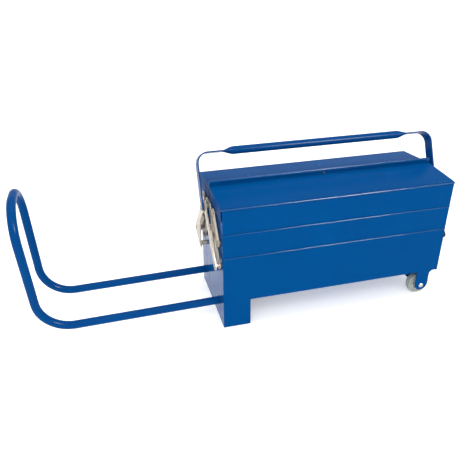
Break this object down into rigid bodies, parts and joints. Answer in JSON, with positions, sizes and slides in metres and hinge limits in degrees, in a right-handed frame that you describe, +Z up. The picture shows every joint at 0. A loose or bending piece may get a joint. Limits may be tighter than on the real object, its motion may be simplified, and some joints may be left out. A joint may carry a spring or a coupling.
{
  "type": "wheeled cantilever tool box",
  "caption": "Sheet steel tool box on two wheels with a pull handle; fold-out trays swing clear of a deep base on parallel arms under two hinged lids",
  "frame": {"origin": "centre of the foot's sole lip, on the ground", "axes": "+Z up, +X from the foot end towards the wheels, +Y from the front panel to the rear panel"},
  "size_m": [0.9071, 0.2092, 0.3486],
  "materials": {
    "blue_sheet": "glossy blue stove enamel on sheet steel",
    "bare_steel": "zinc plated steel strip, lightly worn",
    "blue_tube": "glossy blue enamel on steel tube",
    "dark_plastic": "black moulded plastic",
    "wheel_plastic": "grey moulded plastic",
    "tyre_rubber": "light grey solid rubber"
  },
  "bodies": {
    "base": {"front_panel": "blue_sheet", "rear_panel": "blue_sheet", "foot_end_plate": "blue_sheet", "wheel_end_plate": "blue_sheet", "floor_pan": "blue_sheet", "front_wheel_cheek": "blue_sheet", "rear_wheel_cheek": "blue_sheet", "inner_rod_guide": "blue_sheet", "front_axle": "bare_steel", "rear_axle": "bare_steel", "axle_spacers": "bare_steel", "base_arm_rivets": "bare_steel", "carrier_studs": "bare_steel", "front_foot_end_carrier_leg": "bare_steel", "rear_foot_end_carrier_leg": "bare_steel", "rear_wheel_end_carrier_leg": "bare_steel", "front_wheel_end_carrier_leg": "bare_steel", "handle_pivot_pins": "bare_steel", "foot_plate_bushes": "dark_plastic"},
    "front_wheel": {"front_wheel_hub": "wheel_plastic", "front_wheel_tyre": "tyre_rubber"},
    "front_long_arms": {"front_foot_end_long_arm": "bare_steel", "front_wheel_end_long_arm": "bare_steel"},
    "front_lower_arms": {"front_foot_end_lower_arm": "bare_steel", "front_wheel_end_lower_arm": "bare_steel"},
    "front_upper_arms": {"front_foot_end_upper_arm": "bare_steel", "front_wheel_end_upper_arm": "bare_steel"},
    "front_mid_tray_body": {"front_mid_tray": "blue_sheet", "front_mid_tray_rivets": "bare_steel"},
    "front_top_tray_body": {"front_top_tray": "blue_sheet", "front_hinge_tray_leaf": "blue_sheet", "front_top_tray_rivets": "bare_steel", "front_hinge_pin": "bare_steel"},
    "front_lid_body": {"front_lid": "blue_sheet", "front_lid_end_plates": "blue_sheet", "front_hinge_lid_leaf": "blue_sheet"},
    "rear_wheel": {"rear_wheel_hub": "wheel_plastic", "rear_wheel_tyre": "tyre_rubber"},
    "rear_long_arms": {"rear_foot_end_long_arm": "bare_steel", "rear_wheel_end_long_arm": "bare_steel"},
    "rear_lower_arms": {"rear_foot_end_lower_arm": "bare_steel", "rear_wheel_end_lower_arm": "bare_steel"},
    "rear_upper_arms": {"rear_foot_end_upper_arm": "bare_steel", "rear_wheel_end_upper_arm": "bare_steel"},
    "rear_mid_tray_body": {"rear_mid_tray": "blue_sheet", "rear_mid_tray_rivets": "bare_steel"},
    "rear_top_tray_body": {"rear_top_tray": "blue_sheet", "rear_hinge_tray_leaf": "blue_sheet", "rear_top_tray_rivets": "bare_steel", "rear_hinge_pin": "bare_steel"},
    "rear_lid_body": {"rear_lid": "blue_sheet", "rear_lid_end_plates": "blue_sheet", "rear_hinge_lid_leaf": "blue_sheet"},
    "carry_handle_body": {"carry_handle": "blue_tube"},
    "pull_handle_body": {"pull_handle_tube": "blue_tube", "rod_stop_collars": "dark_plastic"}
  },
  "joints": [
    {"name": "front_open", "type": "hinge", "parent": "base", "child": "front_long_arms", "pos_m": [0.238, -0.0872, 0.148], "axis": [1, 0, 0], "range_deg": [0, 73]},
    {"name": "front_lower_arm_turn", "type": "hinge", "parent": "base", "child": "front_lower_arms", "pos_m": [0.238, -0.0532, 0.148], "axis": [1, 0, 0], "range_deg": [0, 73]},
    {"name": "front_mid_tray_turn", "type": "hinge", "parent": "front_long_arms", "child": "front_mid_tray_body", "pos_m": [0.238, -0.0492, 0.197], "axis": [1, 0, 0], "range_deg": [-73, 0]},
    {"name": "front_upper_arm_turn", "type": "hinge", "parent": "front_mid_tray_body", "child": "front_upper_arms", "pos_m": [0.238, -0.0832, 0.197], "axis": [1, 0, 0], "range_deg": [0, 73]},
    {"name": "front_top_tray_turn", "type": "hinge", "parent": "front_long_arms", "child": "front_top_tray_body", "pos_m": [0.238, -0.0112, 0.246], "axis": [1, 0, 0], "range_deg": [-73, 0]},
    {"name": "front_lid_open", "type": "hinge", "parent": "front_top_tray_body", "child": "front_lid_body", "pos_m": [0.238, -0.1009, 0.2748], "axis": [1, 0, 0], "range_deg": [0, 170]},
    {"name": "front_wheel_spin", "type": "hinge", "parent": "base", "child": "front_wheel", "pos_m": [0.4535, -0.0852, 0.0254], "axis": [0, 1, 0], "continuous": true},
    {"name": "rear_open", "type": "hinge", "parent": "base", "child": "rear_long_arms", "pos_m": [0.238, 0.0872, 0.148], "axis": [-1, 0, 0], "range_deg": [0, 73]},
    {"name": "rear_lower_arm_turn", "type": "hinge", "parent": "base", "child": "rear_lower_arms", "pos_m": [0.238, 0.0532, 0.148], "axis": [-1, 0, 0], "range_deg": [0, 73]},
    {"name": "rear_mid_tray_turn", "type": "hinge", "parent": "rear_long_arms", "child": "rear_mid_tray_body", "pos_m": [0.238, 0.0492, 0.197], "axis": [-1, 0, 0], "range_deg": [-73, 0]},
    {"name": "rear_upper_arm_turn", "type": "hinge", "parent": "rear_mid_tray_body", "child": "rear_upper_arms", "pos_m": [0.238, 0.0832, 0.197], "axis": [-1, 0, 0], "range_deg": [0, 73]},
    {"name": "rear_top_tray_turn", "type": "hinge", "parent": "rear_long_arms", "child": "rear_top_tray_body", "pos_m": [0.238, 0.0112, 0.246], "axis": [-1, 0, 0], "range_deg": [-73, 0]},
    {"name": "rear_lid_open", "type": "hinge", "parent": "rear_top_tray_body", "child": "rear_lid_body", "pos_m": [0.238, 0.1009, 0.2748], "axis": [-1, 0, 0], "range_deg": [0, 26]},
    {"name": "rear_wheel_spin", "type": "hinge", "parent": "base", "child": "rear_wheel", "pos_m": [0.4535, 0.0852, 0.0254], "axis": [0, 1, 0], "continuous": true},
    {"name": "carry_handle_swing", "type": "hinge", "parent": "base", "child": "carry_handle_body", "pos_m": [0.238, 0, 0.244], "axis": [-1, 0, 0], "range_deg": [-89, 39]},
    {"name": "pull_handle_slide", "type": "slide", "parent": "base", "child": "pull_handle_body", "axis": [0.9999, 0, 0.0157], "range_m": [0, 0.25]}
  ],
  "couplings": [
    {"joint": "front_lower_arm_turn", "follows": "front_open", "ratio": 1},
    {"joint": "front_mid_tray_turn", "follows": "front_open", "ratio": -1},
    {"joint": "front_upper_arm_turn", "follows": "front_open", "ratio": 1},
    {"joint": "front_top_tray_turn", "follows": "front_open", "ratio": -1},
    {"joint": "rear_lower_arm_turn", "follows": "rear_open", "ratio": 1},
    {"joint": "rear_mid_tray_turn", "follows": "rear_open", "ratio": -1},
    {"joint": "rear_upper_arm_turn", "follows": "rear_open", "ratio": 1},
    {"joint": "rear_top_tray_turn", "follows": "rear_open", "ratio": -1}
  ]
}
